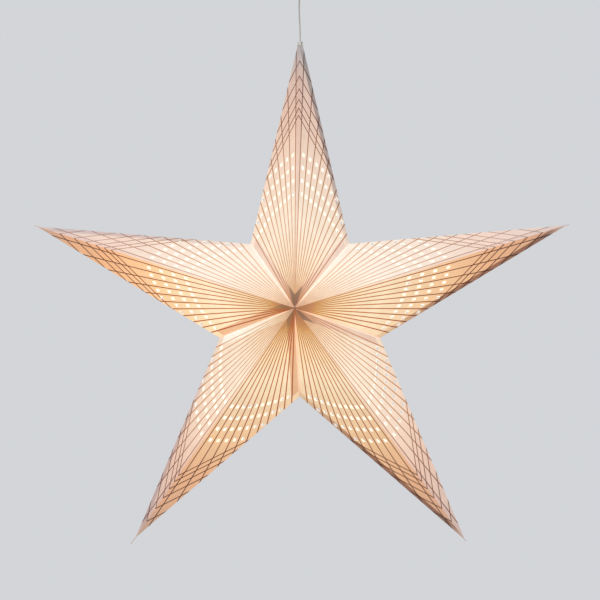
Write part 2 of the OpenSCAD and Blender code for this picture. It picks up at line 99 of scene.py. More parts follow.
def new_material(name: str, shader_values: dict) -> tuple[bpy.types.Material, bpy.types.NodeTree, bpy.types.Node]:
    """Start a material that holds one Principled shader.

    Args:
        name: name of the real finish.
        shader_values: constants set on the shader's own sockets.

    Returns:
        The material, its node tree and its shader.
    """
    material = bpy.data.materials.new(name)
    material.use_nodes = True
    shader = material.node_tree.nodes["Principled BSDF"]
    for socket, value in shader_values.items():
        shader.inputs[socket].default_value = value
    return material, material.node_tree, shader


def paint(obj: bpy.types.Object, material: bpy.types.Material) -> None:
    """Put one material in every slot of an object, or in a new slot where it has none.

    Args:
        obj: object to dress.
        material: its finish.
    """
    if not obj.material_slots:
        obj.data.materials.append(material)
    for slot in obj.material_slots:
        slot.material = material
    log.info("%s: %s", obj.name, material.name)


def select_only(obj: bpy.types.Object) -> None:
    """Deselect everything else, and make one object selected and active."""
    bpy.ops.object.select_all(action="DESELECT")
    obj.select_set(True)
    bpy.context.view_layer.objects.active = obj


class Body(Enum):
    """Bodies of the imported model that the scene's own pieces ride on."""

    CEILING = "ceiling_fitting"
    PENDANT = "pendant"
    LAMP = "lamp"


class Side(Enum):
    """Sides of a point of the star, seen from the front."""

    CLOCKWISE = 1
    ANTICLOCKWISE = -1


@dataclass(frozen=True)
class StarShape:
    """Driving sizes of the star, as in the part's source, and the flat facet worked out from them."""

    reach_mm: float = 315.0
    notch_mm: float = 95.0
    half_depth_mm: float = 107.0
    turn_deg: float = 72.0
    centre_z: float = -0.4233

    @property
    def ridge_mm(self) -> float:
        """Length of the ridge from the front centre to the corner."""
        return math.hypot(self.reach_mm, self.half_depth_mm)

    def notch(self) -> Vector:
        """Notch beside a point that stands along the second axis, as (across, along, depth)."""
        half_turn = math.radians(self.turn_deg / 2)
        return Vector((self.notch_mm * math.sin(half_turn), self.notch_mm * math.cos(half_turn), 0.0))

    def facet_axes(self) -> tuple[Vector, Vector, Vector]:
        """Unit vectors of a facet in (across, along, depth).

        Returns:
            The ridge's way out from the front centre, the way from the ridge to the valley, and the
            facet's outward normal.
        """
        centre = Vector((0.0, 0.0, self.half_depth_mm))
        ridge = (Vector((0.0, self.reach_mm, 0.0)) - centre).normalized()
        outward = (self.notch() - centre).cross(ridge).normalized()
        return ridge, ridge.cross(outward), outward

    def flat_notch(self) -> tuple[float, float]:
        """Notch on the flat facet, as distances along the ridge and away from it."""
        ridge, aside, _ = self.facet_axes()
        way = self.notch() - Vector((0.0, 0.0, self.half_depth_mm))
        return way.dot(ridge), way.dot(aside)


@dataclass(frozen=True)
class CardGlow:
    """Painted glow of the lamp's light through the card, by distance from the front centre along the facet.

    The lower facets are painted golden and the upper ones paler, as though also lit from above. Over the printed
    lines the painted light is brown, and it is nearly gone towards the tips.
    """

    distances_mm: tuple = (0, 20, 30, 105, 180, 240, 333)
    paper_glow_up: tuple = ("#DAAD7C", "#DDAE7C", "#DDB78C", "#DCC8AD", "#D5B297", "#C29579", "#9D8076")
    paper_glow_down: tuple = ("#D7AA73", "#D9AC78", "#E1B97F", "#E8CFA4", "#E5AF6E", "#DA924A", "#AC7244")
    ink_glow_up: tuple = ("#AD7C59", "#D1A277", "#CDA177", "#D39A73", "#A46C3B", "#6A3125", "#4E2414")
    ink_glow_down: tuple = ("#99653F", "#B77C51", "#BD7C2C", "#BB5B23", "#7C2500", "#380B00", "#230000")

    def ramp(self, tree: bpy.types.NodeTree, share: Socket, colours: tuple) -> Socket:
        """Add one colour ramp over the facet's length.

        Args:
            tree: node tree of the card's material.
            share: distance from the front centre as a share of the last distance.
            colours: one hex colour for each distance.

        Returns:
            The ramp's colour.
        """
        node = add_node(tree, "ShaderNodeValToRGB", {0: share})
        stops = node.color_ramp.elements
        while len(stops) < len(colours):
            stops.new(1.0)
        for stop, distance, colour in zip(stops, self.distances_mm, colours):
            stop.position, stop.color = distance / self.distances_mm[-1], linear(colour)
        return node.outputs[0]

    def mixed(self, tree: bpy.types.NodeTree, share: Socket, down: Socket, up_ramp: tuple,
              down_ramp: tuple) -> Socket:
        """Blend the ramp of the upper facets into that of the lower ones.

        Args:
            tree: node tree of the card's material.
            share: distance from the front centre as a share of the last distance.
            down: how far the facet looks down, from 0 to 1.
            up_ramp: colours of the upper facets.
            down_ramp: colours of the lower facets.

        Returns:
            The blended colour.
        """
        return add_node(tree, "ShaderNodeMix", {
            0: down, 6: self.ramp(tree, share, up_ramp), 7: self.ramp(tree, share, down_ramp)},
            data_type="RGBA").outputs[2]


@dataclass(frozen=True)
class PrintedCard:
    """Matt coated card of 250 g, printed with thin brown lines, with the lamp's light inside painted on as glow.

    It is painted with a warm glow that is strongest round the lamp and fades towards the tips, and shows brown
    rays and chevrons, painted shade in bands where the card is double, and painted light on the bare card beside
    the folds. A pair of numbers is where a change begins and where it is complete.
    """

    name: str
    shape: StarShape = StarShape()
    glow: CardGlow = CardGlow()
    glow_strength: float = 1.0
    # Sides with a flap beneath, and how brightly the clockwise and the anticlockwise side are lit
    flaps: frozenset = frozenset()
    lit: tuple = (1.0, 1.0)
    lit_mm: tuple = (60.0, 140.0)
    paper: str = "#A5A29D"
    ink: str = "#513B2E"
    # Glow painted on the card's inner face
    inside: str = "#FFF3DC"
    # Printed rays, in degrees from the ridge, and chevrons, counted from the corner
    first_ray: float = 1.4
    ray_pitch: float = 3.6
    ray_count: int = 11
    line_mm: float = 1.45
    line_blur_mm: float = 0.45
    chevron_angle: float = 47.0
    chevron_first_mm: float = 28.0
    chevron_step_mm: float = 19.2
    chevron_shrink: float = 0.83
    chevron_count: int = 6
    least_reach: float = 0.05
    # Lap, flaps, and the slit of light along a valley
    lap_mm: float = 7.5
    lap_start_mm: tuple = (125.0, 195.0)
    lap_end_mm: tuple = (324.0, 306.0)
    flap_mm: float = 10.5
    flap_start_mm: float = 4.0
    flap_taper_mm: float = 28.0
    flap_margin_mm: float = 8.5
    seam_mm: tuple = (0.9, 1.5)
    edge_blur_mm: float = 0.4
    end_blur_mm: float = 0.5
    ridge_blur: float = 0.3
    spot_mm: tuple = (1.9, 1.2)
    # Where the painted shade of the glow and the painted light on the card begin at the tips
    tip_height_mm: tuple = (262.0, 300.0)
    tip_mm: tuple = (292.0, 325.0)
    outer_mm: tuple = (-0.3, -0.1)
    # Cosine between a facet's way out and straight up, where it counts as looking down, skyward or aside, for its
    # painted light
    down_cosine: tuple = (0.2, -0.6)
    sky_cosine: tuple = (0.4, 0.95)
    side_cosine: tuple = (0.38, 0.22)
    # Skyward facets are painted paler and cooler far out, as though lit from above, and their printed lines fade there
    sky_mm: tuple = (190.0, 250.0)
    sky_fade: float = 0.35
    skylight_paper_tint: tuple = (0.84, 0.88, 0.94, 1)
    skylight_ink_tint: tuple = (1.15, 1.30, 1.60, 1)
    # Cloudiness of the pulp, and the card's own grain
    mottle_mm: float = 9.0
    mottle_range: tuple = (0.3, 0.7)
    mottle: float = 0.06
    grain_mm: float = 1.6
    grain_depth: float = 0.00015
    grain_bump: float = 0.25
    # Painted light and shade on the card, where a tint below 1 is shade and above 1 is light: the mask, its tint of
    # the glow, and its tint of the bare card
    marks: tuple = (
        # Painted shade along the folded ridge, in the glow and the card's colour, and painted light there on the lower
        # facets
        ("ridge", (0.92, 0.83, 0.81, 1), (0.97, 0.96, 0.97, 1)),
        ("ridge_down", (1.10, 1.18, 1.20, 1), PLAIN),
        # Painted shade in the glow where a flap lies beneath, golden on the lower facets
        ("flap", (0.84, 0.70, 0.72, 1), PLAIN),
        ("flap_down", (0.92, 0.69, 0.40, 1), PLAIN),
        ("bare", (1.09, 1.28, 1.50, 1), PLAIN),
        # Painted shadow round the flaps' roots near the centre, in the glow and the card's colour, lightened on the
        # lower facets
        ("root", (0.42, 0.40, 0.46, 1), (0.85, 0.85, 0.86, 1)),
        ("root_down", (1.60, 1.85, 1.70, 1), PLAIN),
        # Painted shade along the lap of double card, in the glow and in the card's own colour
        ("lap", (0.72, 0.71, 0.86, 1), (0.80, 0.80, 0.80, 1)),
        ("lap_dim", (0.47, 0.38, 0.35, 1), (0.85, 0.90, 0.92, 1)),
        ("lap_down", (1.02, 0.88, 0.66, 1), (0.74, 0.60, 0.54, 1)),
        # Painted shade in the glow and painted light on the card's colour towards the tips
        ("tip", (0.50, 0.65, 0.85, 1), (1.35, 1.35, 1.36, 1)),
        ("tip_down", (0.72, 0.85, 1.15, 1), (1.10, 1.12, 1.12, 1)),
        # Painted light far out on the skyward facets
        ("sky_far", (1.16, 1.12, 1.10, 1), PLAIN),
        # Painted light along the seams, in the glow and on the card's colour, dimmer and warmer on the lower facets
        ("seam", (1.12, 1.08, 1.22, 1), (1.1, 1.1, 1.1, 1)),
        ("seam_down", (0.90, 0.70, 0.62, 1), PLAIN),
        ("spot", (0.03, 0.03, 0.04, 1), (0.05, 0.05, 0.07, 1)))

    def place_steps(self) -> list[tuple]:
        """List the formula that lays the flat facet over the folded star.

        Returns:
            Rows of (result, operation, terms), each term a number or the name of an earlier result.
        """
        ridge, aside, outward = self.shape.facet_axes()
        half = self.shape.turn_deg / 2
        return [
            # Place on the star: turn from the top, fold into one point, and distance from the centre
            ("turn", "ARCTAN2", "x", "z"), ("turned", "DEGREES", "turn"),
            ("local", "WRAP", "turned", half, -half), ("side", "SIGN", "local"),
            ("fold", "RADIANS", "local"), ("xx", "MULTIPLY", "x", "x"), ("rr", "MULTIPLY_ADD", "z", "z", "xx"),
            ("r", "SQRT", "rr"), ("sine", "SINE", "fold"), ("cosine", "COSINE", "fold"),
            ("aside", "MULTIPLY", "r", "sine"), ("across", "ABSOLUTE", "aside"),
            ("along", "MULTIPLY", "r", "cosine"), ("high", "ABSOLUTE", "y"),
            ("rise", "SUBTRACT", "high", self.shape.half_depth_mm),
            # Flat facet: u along the ridge, v away from it, w out of the card, rho from the front centre
            ("u1", "MULTIPLY", "along", ridge.y), ("u", "MULTIPLY_ADD", "rise", ridge.z, "u1"),
            ("v1", "MULTIPLY", "across", aside.x), ("v2", "MULTIPLY_ADD", "along", aside.y, "v1"),
            ("v", "MULTIPLY_ADD", "rise", aside.z, "v2"),
            ("w1", "MULTIPLY", "across", outward.x), ("w2", "MULTIPLY_ADD", "along", outward.y, "w1"),
            ("w", "MULTIPLY_ADD", "rise", outward.z, "w2"), ("outer", "RAMP", "w", *self.outer_mm),
            ("uu", "MULTIPLY", "u", "u"), ("rho2", "MULTIPLY_ADD", "v", "v", "uu"), ("rho", "SQRT", "rho2"),
            ("open", "ARCTAN2", "v", "u"), ("theta", "DEGREES", "open"),
            ("share", "DIVIDE", "rho", float(self.glow.distances_mm[-1])),
            ("front", "LESS_THAN", "y", 0.0), ("cw", "GREATER_THAN", "side", 0.0), ("ccw", "LESS_THAN", "side", 0.0),
        ]

    def line_steps(self) -> list[tuple]:
        """List the formula of the printed rays and chevrons.

        Returns:
            Rows of (result, operation, terms).
        """
        slant = math.radians(self.chevron_angle)
        fall = self.chevron_step_mm / (1 - self.chevron_shrink)
        width = (self.line_mm / 2 + self.line_blur_mm / 2, self.line_mm / 2 - self.line_blur_mm / 2)
        return [
            # Distance from the nearest ray
            ("ray1", "SUBTRACT", "theta", self.first_ray), ("ray2", "DIVIDE", "ray1", self.ray_pitch),
            ("ray3", "ROUND", "ray2"), ("ray4", "MAXIMUM", "ray3", 0.0),
            ("ray5", "MINIMUM", "ray4", self.ray_count - 1.0), ("ray6", "SUBTRACT", "ray2", "ray5"),
            ("ray7", "MULTIPLY", "ray6", math.radians(self.ray_pitch)), ("ray8", "MULTIPLY", "ray7", "rho"),
            ("ray", "ABSOLUTE", "ray8"), ("ray_ink", "RAMP", "ray", *width),
            # Distance from the nearest chevron, whose steps shrink towards the centre
            ("left", "SUBTRACT", self.shape.ridge_mm, "u"),
            ("che1", "MULTIPLY_ADD", "v", -1 / math.tan(slant), "left"),
            ("che2", "SUBTRACT", "che1", self.chevron_first_mm), ("che3", "DIVIDE", "che2", -fall),
            ("che4", "ADD", "che3", 1.0), ("che5", "MAXIMUM", "che4", self.least_reach),
            ("che6", "LOGARITHM", "che5", self.chevron_shrink), ("che7", "ROUND", "che6"),
            ("che8", "MAXIMUM", "che7", 0.0), ("che9", "MINIMUM", "che8", self.chevron_count - 1.0),
            ("chea", "POWER", self.chevron_shrink, "che9"),
            ("cheb", "MULTIPLY_ADD", "chea", -fall, self.chevron_first_mm + fall),
            ("chec", "SUBTRACT", "che1", "cheb"), ("ched", "MULTIPLY", "chec", math.sin(slant)),
            ("chevron", "ABSOLUTE", "ched"), ("chevron_ink", "RAMP", "chevron", *width),
            ("full_ink", "MAXIMUM", "ray_ink", "chevron_ink"),
        ]

    def fold_steps(self) -> list[tuple]:
        """List the formula of the lap, the flaps, the folds, and how each facet lies.

        Returns:
            Rows of (result, operation, terms).
        """
        _, _, outward = self.shape.facet_axes()
        notch_u, notch_v = self.shape.flat_notch()
        valley = math.atan2(notch_v, notch_u)
        edge = math.hypot(self.shape.ridge_mm - notch_u, notch_v)
        lean = math.degrees(math.atan2(outward.x, outward.y))
        blur, end_blur = self.edge_blur_mm, self.end_blur_mm
        cw_lit, ccw_lit = self.lit
        return [
            # Lap along the clockwise outer edge of the front
            ("edge1", "MULTIPLY", "left", notch_v / edge),
            ("edge", "MULTIPLY_ADD", "v", (notch_u - self.shape.ridge_mm) / edge, "edge1"),
            ("lap1", "RAMP", "edge", self.lap_mm + blur, self.lap_mm - blur),
            ("lap2", "MULTIPLY", "lap1", "front"), ("lap3", "MULTIPLY", "lap2", "cw"),
            ("lap4", "RAMP", "rho", *self.lap_start_mm), ("lap5", "MULTIPLY", "lap3", "lap4"),
            ("lap6", "RAMP", "rho", *self.lap_end_mm), ("lap", "MULTIPLY", "lap5", "lap6"),
            # Flaps along the valleys, and the light that shows along a valley with no flap
            ("gap1", "MULTIPLY", "u", math.sin(valley)), ("gap", "MULTIPLY_ADD", "v", -math.cos(valley), "gap1"),
            ("run1", "MULTIPLY", "u", math.cos(valley)), ("run", "MULTIPLY_ADD", "v", math.sin(valley), "run1"),
            ("flapa", "RAMP", "gap", self.flap_mm + blur, self.flap_mm - blur),
            ("flapb", "RAMP", "gap", *self.seam_mm), ("flap1", "MULTIPLY", "flapa", "flapb"),
            ("flap2", "MULTIPLY_ADD", "gap", -self.flap_taper_mm / self.flap_mm, "run"),
            ("flap3", "RAMP", "flap2", self.flap_start_mm - end_blur, self.flap_start_mm + end_blur),
            ("flap4", "RAMP", "edge", self.flap_margin_mm - end_blur, self.flap_margin_mm + end_blur),
            ("flap5", "MULTIPLY", "flap1", "flap3"), ("flap6", "MULTIPLY", "flap5", "flap4"),
            ("has1", "MULTIPLY", "cw", float(Side.CLOCKWISE in self.flaps)),
            ("has", "MULTIPLY_ADD", "ccw", float(Side.ANTICLOCKWISE in self.flaps), "has1"),
            ("flap", "MULTIPLY", "flap6", "has"), ("seam", "SUBTRACT", 1.0, "flapb"),
            ("root1", "SUBTRACT", 1.0, "flap3"), ("root2", "MULTIPLY", "root1", "flap1"),
            ("root", "MULTIPLY", "root2", "has"), ("bare1", "SUBTRACT", 1.0, "has"),
            ("bare2", "MULTIPLY", "flapa", "bare1"), ("bare3", "MULTIPLY", "bare2", "flap4"),
            # Folded ridge, the dark point at the centre, and which way the facet looks, which picks its painted light
            # and shade
            ("ridge", "RAMP", "theta", self.first_ray + self.ridge_blur, self.first_ray - self.ridge_blur),
            ("spot", "RAMP", "rho", *self.spot_mm),
            ("lean1", "SUBTRACT", "turned", "local"), ("lean2", "MULTIPLY_ADD", "side", lean, "lean1"),
            ("lean3", "RADIANS", "lean2"), ("up", "COSINE", "lean3"), ("down", "RAMP", "up", *self.down_cosine),
            ("skyward", "RAMP", "up", *self.sky_cosine), ("dim", "RAMP", "up", *self.side_cosine),
            ("ridge_down", "MULTIPLY", "ridge", "down"), ("flap_down", "MULTIPLY", "flap", "down"),
            ("lap_dim", "MULTIPLY", "lap", "dim"), ("lap_down", "MULTIPLY", "lap", "down"),
            ("root_down", "MULTIPLY", "root", "down"), ("seam_down", "MULTIPLY", "seam", "down"),
            ("even1", "ADD", "dim", "skyward"), ("even2", "SUBTRACT", 1.0, "even1"),
            ("bare", "MULTIPLY", "bare3", "even2"),
            # Far out on the skyward facets painted light brightens the glow and fades the printed lines
            ("sky1", "RAMP", "rho", *self.sky_mm), ("sky_far", "MULTIPLY", "skyward", "sky1"),
            ("fade", "MULTIPLY_ADD", "sky_far", -self.sky_fade, 1.0), ("ink", "MULTIPLY", "full_ink", "fade"),
            ("tip", "RAMP", "z", *self.tip_height_mm), ("tip1", "RAMP", "rho", *self.tip_mm),
            ("tip_down", "MULTIPLY", "tip1", "down"),
            # How brightly each of the two sides is lit, away from the centre
            ("lit1", "RAMP", "rho", *self.lit_mm), ("lit2", "MULTIPLY_ADD", "cw", cw_lit - ccw_lit, ccw_lit),
            ("lit3", "SUBTRACT", "lit2", 1.0), ("lit", "MULTIPLY_ADD", "lit3", "lit1", 1.0),
        ]

    def work_out(self, tree: bpy.types.NodeTree, place: Socket) -> dict[str, Socket]:
        """Turn the formulas into nodes.

        Args:
            tree: node tree of the card's material.
            place: place on the star in millimetres, counted from its centre.

        Returns:
            The socket of each result by name.
        """
        parts = add_node(tree, "ShaderNodeSeparateXYZ", {0: place})
        known = {"x": parts.outputs[0], "y": parts.outputs[1], "z": parts.outputs[2]}
        for result, operation, *terms in self.place_steps() + self.line_steps() + self.fold_steps():
            inputs = {i: known[t] if isinstance(t, str) else t for i, t in enumerate(terms)}
            if operation == "RAMP":
                known[result] = add_node(tree, "ShaderNodeMapRange", inputs).outputs[0]
            else:
                known[result] = add_node(tree, "ShaderNodeMath", inputs, operation=operation).outputs[0]
        return known

    def lit_colour(self, tree: bpy.types.NodeTree, known: dict[str, Socket]) -> Socket:
        """Mix the painted glow through the paper with that through the ink, both painted cooler on skyward facets.

        Args:
            tree: node tree of the card's material.
            known: sockets of the formulas' results by name.

        Returns:
            The glow's colour before its marks.
        """
        through_paper = self.glow.mixed(tree, known["share"], known["down"], self.glow.paper_glow_up,
                                        self.glow.paper_glow_down)
        through_ink = self.glow.mixed(tree, known["share"], known["down"], self.glow.ink_glow_up, self.glow.ink_glow_down)
        paper, ink = [
            add_node(tree, "ShaderNodeMix", {0: known["skyward"], 6: colour, 7: tint},
                     data_type="RGBA", blend_type="MULTIPLY").outputs[2]
            for colour, tint in ((through_paper, self.skylight_paper_tint), (through_ink, self.skylight_ink_tint))]
        return add_node(tree, "ShaderNodeMix", {0: known["ink"], 6: paper, 7: ink}, data_type="RGBA").outputs[2]

    def make(self) -> bpy.types.Material:
        """Build the card's material.

        Returns:
            A Principled material whose colour, painted glow and painted shade follow the folded facets.
        """
        material, tree, shader = new_material(self.name, {
            "Roughness": 0.78, "IOR": 1.5, "Specular IOR Level": 0.35, "Emission Strength": self.glow_strength})
        # The card isn't sampled as a lamp, because its glow is too weak to light anything else
        material.cycles.emission_sampling = "NONE"
        place = add_node(tree, "ShaderNodeTexCoord", {}).outputs["Object"]
        about_centre = add_node(tree, "ShaderNodeMapping", {
            "Vector": place, "Location": (0, 0, -self.shape.centre_z / MM), "Scale": (1 / MM,) * 3}).outputs[0]
        known = self.work_out(tree, about_centre)
        glow = self.lit_colour(tree, known)
        cloud = add_node(tree, "ShaderNodeTexNoise", {
            "Vector": about_centre, "Scale": 1 / self.mottle_mm, "Detail": 5.0, "Roughness": 0.6})
        least, most = self.mottle_range
        mottle = add_node(tree, "ShaderNodeMapRange", {
            0: cloud.outputs[0], 1: least, 2: most, 3: 1 - self.mottle, 4: 1 + self.mottle})
        uneven = add_node(tree, "ShaderNodeMath", {0: mottle.outputs[0], 1: known["lit"]}, operation="MULTIPLY")
        glow = add_node(tree, "ShaderNodeMix", {0: 1.0, 6: glow, 7: uneven.outputs[0]},
                        data_type="RGBA", blend_type="MULTIPLY").outputs[2]
        card = add_node(tree, "ShaderNodeMix", {0: 0.5, 6: linear(self.paper), 7: mottle.outputs[0]},
                        data_type="RGBA", blend_type="MULTIPLY").outputs[2]
        card = add_node(tree, "ShaderNodeMix", {0: known["ink"], 6: card, 7: linear(self.ink)},
                        data_type="RGBA").outputs[2]
        # Paint each mark's light or shade onto the glow and onto the card's colour
        for mask, glow_tint, card_tint in self.marks:
            glow, card = [
                add_node(tree, "ShaderNodeMix", {0: known[mask], 6: colour, 7: tint},
                         data_type="RGBA", blend_type="MULTIPLY").outputs[2]
                for colour, tint in ((glow, glow_tint), (card, card_tint))]
        # The inner face of the card is painted with a bright glow of its own
        glow = add_node(tree, "ShaderNodeMix", {0: known["outer"], 6: linear(self.inside), 7: glow},
                        data_type="RGBA").outputs[2]
        grain = add_node(tree, "ShaderNodeTexNoise", {
            "Vector": about_centre, "Scale": 1 / self.grain_mm, "Detail": 3.0, "Roughness": 0.7})
        bump = add_node(tree, "ShaderNodeBump", {
            "Strength": self.grain_bump, "Distance": self.grain_depth, "Height": grain.outputs[0]})
        tree.links.new(card, shader.inputs["Base Color"])
        tree.links.new(glow, shader.inputs["Emission Color"])
        tree.links.new(bump.outputs[0], shader.inputs["Normal"])
        return material


@dataclass(frozen=True)
class Finish:
    """Finish of a moulded, painted, fired or plated piece: an even colour, faintly cloudy, with a fine skin."""

    name: str
    colour: str
    shade: str
    roughness: float = 0.42
    skin_mm: float = 1.4
    skin_depth: float = 0.0001
    bump: float = 0.12
    ior: float = 1.49
    cloud_mm: float = 22.0
    colour_range: tuple = (0.35, 0.65)
    gloss_range: tuple = (0.3, 0.7)
    gloss_change: float = 0.08
    metallic: float = 0.0
    stretch: tuple = (1.0, 1.0, 1.0)
    glow: str = ""
    glow_strength: float = 0.0

    def make(self) -> bpy.types.Material:
        """Build the finish: clouds change the colour and gloss a little, and fine noise roughens it.

        Returns:
            The finished material, which is the earlier one where it was made before.
        """
        made = bpy.data.materials.get(self.name)
        if made:
            return made
        values = {"Metallic": self.metallic}
        if self.glow:
            values |= {"Emission Color": linear(self.glow), "Emission Strength": self.glow_strength}
        if not self.metallic:
            values["IOR"] = self.ior
        material, tree, shader = new_material(self.name, values)
        place = add_node(tree, "ShaderNodeTexCoord", {}).outputs["Object"]
        scaled = add_node(tree, "ShaderNodeMapping", {
            "Vector": place, "Scale": tuple(s / MM for s in self.stretch)}).outputs[0]
        cloud = add_node(tree, "ShaderNodeTexNoise", {
            "Vector": scaled, "Scale": 1 / self.cloud_mm, "Detail": 4.0}).outputs[0]
        least, most = self.colour_range
        spread = add_node(tree, "ShaderNodeMapRange", {0: cloud, 1: least, 2: most}).outputs[0]
        colour = add_node(tree, "ShaderNodeMix", {0: spread, 6: linear(self.shade), 7: linear(self.colour)},
                          data_type="RGBA").outputs[2]
        least, most = self.gloss_range
        gloss = add_node(tree, "ShaderNodeMapRange", {
            0: cloud, 1: least, 2: most, 3: self.roughness - self.gloss_change,
            4: self.roughness + self.gloss_change}).outputs[0]
        skin = add_node(tree, "ShaderNodeTexNoise", {
            "Vector": scaled, "Scale": 1 / self.skin_mm, "Detail": 2.0}).outputs[0]
        bump = add_node(tree, "ShaderNodeBump", {
            "Strength": self.bump, "Distance": self.skin_depth, "Height": skin}).outputs[0]
        tree.links.new(colour, shader.inputs["Base Color"])
        tree.links.new(gloss, shader.inputs["Roughness"])
        tree.links.new(bump, shader.inputs["Normal"])
        return material


# Collar, stop, grip, lampholder, driver case and terminal block: white plastic, satin from its mould
WHITE_PLASTIC = Finish("satin white polycarbonate", "#E9E7E1", "#E1DED6", roughness=0.38)
# Ceiling cup: powder-coated steel, whose even white shows a fine orange-peel skin in glancing light
POWDER_COAT = Finish("white powder coat", "#F1F0EC", "#ECEAE4", roughness=0.34, skin_mm=1.1, bump=0.3)
# Cord: soft PVC sheath, pale warm grey, a little shiny
SHEATH = Finish("pale grey PVC sheath", "#D8D0C8", "#CCC4BB", roughness=0.44, cloud_mm=14.0)
# Leads between the driver and its terminals: blue PVC, slightly glossy
LEAD = Finish("blue PVC lead", "#46587C", "#3E4E70", roughness=0.4)
# Ball of the cord grip: black nylon, a little matt
NYLON = Finish("black nylon", "#2B2B2D", "#39393C", roughness=0.55, cloud_mm=3.0)
# Insulating block of the lampholder: unglazed steatite, matt and slightly speckled
STEATITE = Finish("unglazed steatite", "#D8D1C0", "#C9C0AC", roughness=0.82, skin_mm=0.5, bump=0.4, cloud_mm=2.5)
# Bracket, screws and nut: zinc-plated steel, whose grey turns lighter and darker in small patches
ZINC = Finish("zinc-plated steel", "#BFC1C3", "#A7AAAD", roughness=0.34, metallic=1.0, cloud_mm=5.0,
              gloss_change=0.1, skin_mm=0.7)
# Sleeve and contacts of the lampholder: brass strip, drawn and a little dull
BRASS = Finish("drawn brass strip", "#D3B578", "#BF9F61", roughness=0.3, metallic=1.0, cloud_mm=4.0,
               stretch=(1.0, 1.0, 0.25))
# Cap of the lamp: nickel-plated, with fine rings from rolling
NICKEL = Finish("nickel-plated lamp cap", "#C9C8C4", "#B4B3AF", roughness=0.27, metallic=1.0, cloud_mm=3.0,
                stretch=(0.2, 0.2, 1.0))
# End of the lamp's cap: glossy black glass, fused round the contact
VITRITE = Finish("fused black glass", "#17171A", "#1F1E23", roughness=0.12, ior=1.52, cloud_mm=2.0)
# Light board: white solder resist over the copper's faint relief
RESIST = Finish("white solder resist", "#F1F0EA", "#E4E3DA", roughness=0.36, cloud_mm=2.0, bump=0.25)
# Double-sided tape: clear film with a yellowish adhesive
TAPE = Finish("double-sided tape", "#DDD2B8", "#D1C5A8", roughness=0.25, cloud_mm=6.0)
# Globe of the lamp: opal polycarbonate, lit from inside, so that it glows evenly and looks soft. Its own white
# is held back, so that the glow added to it stays a warm white and keeps a little shading.
OPAL = Finish("lit opal polycarbonate", "#C6BDAB", "#BBB19D", roughness=0.3, glow="#FFDDAB", glow_strength=0.46)
# Studio floor: matt paint, which isn't part of the lantern
FLOOR_PAINT = Finish("matt floor paint", "#DADCDF", "#D6D8DC", roughness=0.7, cloud_mm=400.0)


@dataclass(frozen=True)
class Sheet:
    """One point's sheet: which sides show a flap beneath, where its chevrons lie, and how its sides are lit."""

    node: str
    flaps: frozenset
    chevron_angle: float
    chevron_first_mm: float
    lit: tuple


@dataclass
class Star:
    """Five folded points of printed card, and the tape between two of them."""

    sheets: tuple = (
        Sheet("point_top", frozenset(Side), 50.2, 33.6, (0.86, 1.0)),
        Sheet("point_right", frozenset(), 47.8, 30.5, (0.91, 0.93)),
        Sheet("point_lower_right", frozenset({Side.ANTICLOCKWISE}), 47.2, 27.0, (0.82, 0.98)),
        Sheet("point_lower_left", frozenset({Side.ANTICLOCKWISE}), 46.6, 25.0, (1.04, 0.85)),
        Sheet("point_left", frozenset({Side.ANTICLOCKWISE}), 46.4, 31.0, (1.0, 1.08)),
    )

    def dress(self, nodes: dict) -> None:
        """Give each point the card that shows the flaps lying under it.

        Args:
            nodes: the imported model's objects by name.
        """
        for sheet in self.sheets:
            card = PrintedCard(
                name=f"matt printed card of {sheet.node}", flaps=sheet.flaps, lit=sheet.lit,
                chevron_angle=sheet.chevron_angle, chevron_first_mm=sheet.chevron_first_mm)
            paint(nodes[sheet.node], card.make())
        paint(nodes["seam_tapes"], TAPE.make())


